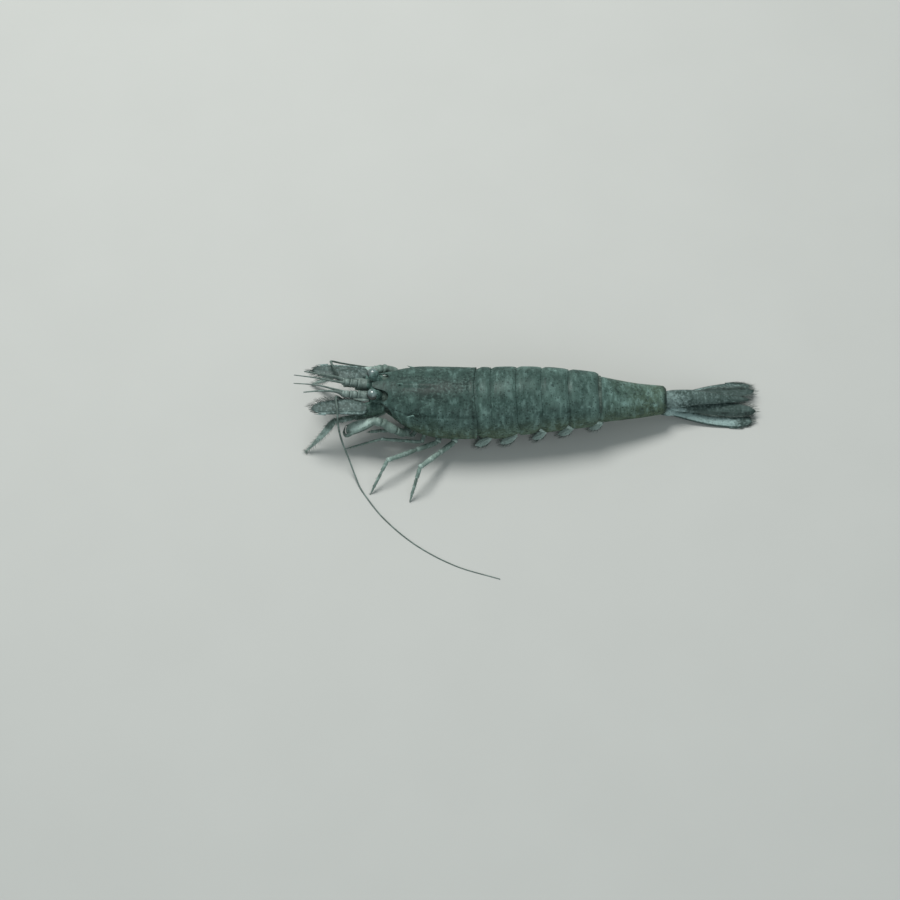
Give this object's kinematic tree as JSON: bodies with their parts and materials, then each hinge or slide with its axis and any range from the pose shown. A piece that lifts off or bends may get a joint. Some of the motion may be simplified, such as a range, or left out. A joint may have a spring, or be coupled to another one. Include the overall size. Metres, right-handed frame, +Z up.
{
  "type": "brown shrimp",
  "caption": "Life-size still model of a common brown shrimp standing on the sea floor, head to tail fan, with feelers, claws, walking legs and swimming limbs.",
  "frame": {"origin": "on the floor, at the middle of the footprint of its box", "axes": "-X is where the head points, +Y is the animal's right side, +Z is up"},
  "size_m": [0.0842, 0.0438, 0.0126],
  "materials": {
    "shell": "satin grey-olive chitin, finely speckled with dark brown and pale dots",
    "underside": "pale, thin, satin membrane",
    "eye": "glossy near-black cornea on a pale stalk",
    "limb": "satin pale grey-green chitin with brown dots",
    "fan": "satin grey-olive chitin, darker towards the tips",
    "feeler": "satin grey-brown, finely ringed"
  },
  "bodies": {
    "root": {"carapace": "shell", "thorax_underside": "underside", "head_front": "shell", "somite_1": "shell", "somite_2": "shell", "somite_3": "shell", "somite_4": "shell", "somite_5": "shell", "somite_6": "shell", "telson": "fan", "uropod_exopod_left": "fan", "uropod_endopod_left": "fan", "eye_left": "eye", "antennule_left": "feeler", "antennal_scale_left": "fan", "antenna_left": "feeler", "maxilliped_left": "limb", "leg_1_left": "limb", "leg_2_left": "limb", "leg_3_left": "limb", "leg_4_left": "limb", "leg_5_left": "limb", "pleopod_1_left": "feeler", "pleopod_2_left": "feeler", "pleopod_3_left": "feeler", "pleopod_4_left": "feeler", "pleopod_5_left": "feeler", "uropod_exopod_right": "fan", "uropod_endopod_right": "fan", "eye_right": "eye", "antennule_right": "feeler", "antennal_scale_right": "fan", "antenna_right": "feeler", "maxilliped_right": "limb", "leg_1_right": "limb", "leg_2_right": "limb", "leg_3_right": "limb", "leg_4_right": "limb", "leg_5_right": "limb", "pleopod_1_right": "feeler", "pleopod_2_right": "feeler", "pleopod_3_right": "feeler", "pleopod_4_right": "feeler", "pleopod_5_right": "feeler"}
  },
  "joints": []
}
